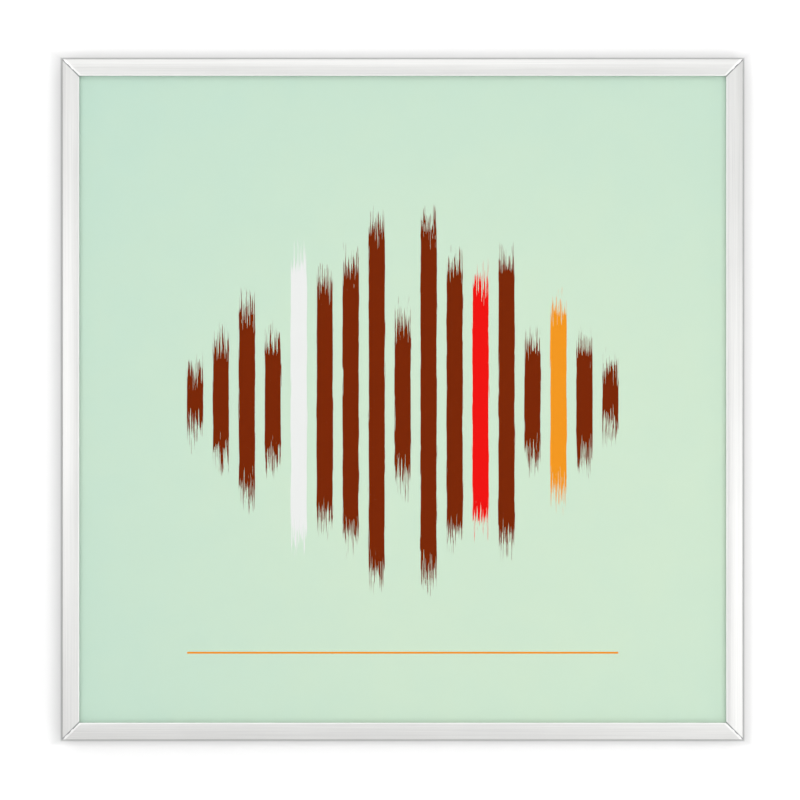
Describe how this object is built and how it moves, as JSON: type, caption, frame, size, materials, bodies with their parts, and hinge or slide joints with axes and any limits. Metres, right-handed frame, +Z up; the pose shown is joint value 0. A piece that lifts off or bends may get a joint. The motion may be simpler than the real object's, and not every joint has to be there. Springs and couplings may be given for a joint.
{
  "type": "record frame",
  "caption": "Slim square metal wall frame with a glass front that displays a record sleeve; turn buttons hold its back and a sawtooth hanger hangs it.",
  "frame": {"origin": "centre of the whole frame's bounding box", "axes": "+X to the viewer's right, +Z up, -Y the glass front, +Y towards the wall"},
  "size_m": [0.3274, 0.02, 0.3274],
  "materials": {
    "anodised_aluminium": "satin anodised, fine lengthwise grain",
    "glass": "clear float glass",
    "printed_paper": "matt printed card",
    "card": "plain corrugated card",
    "hardboard": "smooth pressed hardboard",
    "angle_steel": "zinc plated",
    "screw_steel": "plain steel",
    "button_steel": "nickel plated, pressed",
    "rivet_steel": "nickel plated",
    "hanger_steel": "zinc plated, pressed"
  },
  "bodies": {
    "frame": {"rail_top": "anodised_aluminium", "rail_bottom": "anodised_aluminium", "rail_left": "anodised_aluminium", "rail_right": "anodised_aluminium", "glass": "glass", "print_sheet": "printed_paper", "filler_pad": "card", "back_board": "hardboard", "corner_angle_upper_left": "angle_steel", "corner_angle_upper_right": "angle_steel", "corner_angle_lower_left": "angle_steel", "corner_angle_lower_right": "angle_steel", "corner_screws": "screw_steel", "button_rivets": "rivet_steel", "sawtooth_hanger": "hanger_steel", "hanger_rivets": "rivet_steel"},
    "button_top_left": {"button_top_left": "button_steel"},
    "button_top_right": {"button_top_right": "button_steel"},
    "button_bottom_left": {"button_bottom_left": "button_steel"},
    "button_bottom_right": {"button_bottom_right": "button_steel"},
    "button_left_upper": {"button_left_upper": "button_steel"},
    "button_left_lower": {"button_left_lower": "button_steel"},
    "button_right_upper": {"button_right_upper": "button_steel"},
    "button_right_lower": {"button_right_lower": "button_steel"}
  },
  "joints": [
    {"name": "button_top_left_turn", "type": "hinge", "parent": "frame", "child": "button_top_left", "pos_m": [-0.09004, 0.00045, 0.1466], "axis": [0, 1, 0], "continuous": true},
    {"name": "button_top_right_turn", "type": "hinge", "parent": "frame", "child": "button_top_right", "pos_m": [0.09004, 0.00045, 0.1466], "axis": [0, 1, 0], "continuous": true},
    {"name": "button_bottom_left_turn", "type": "hinge", "parent": "frame", "child": "button_bottom_left", "pos_m": [-0.09004, 0.00045, -0.1466], "axis": [0, 1, 0], "continuous": true},
    {"name": "button_bottom_right_turn", "type": "hinge", "parent": "frame", "child": "button_bottom_right", "pos_m": [0.09004, 0.00045, -0.1466], "axis": [0, 1, 0], "continuous": true},
    {"name": "button_left_upper_turn", "type": "hinge", "parent": "frame", "child": "button_left_upper", "pos_m": [-0.1466, 0.00045, 0.09004], "axis": [0, 1, 0], "continuous": true},
    {"name": "button_left_lower_turn", "type": "hinge", "parent": "frame", "child": "button_left_lower", "pos_m": [-0.1466, 0.00045, -0.09004], "axis": [0, 1, 0], "continuous": true},
    {"name": "button_right_upper_turn", "type": "hinge", "parent": "frame", "child": "button_right_upper", "pos_m": [0.1466, 0.00045, 0.09004], "axis": [0, 1, 0], "continuous": true},
    {"name": "button_right_lower_turn", "type": "hinge", "parent": "frame", "child": "button_right_lower", "pos_m": [0.1466, 0.00045, -0.09004], "axis": [0, 1, 0], "continuous": true}
  ]
}
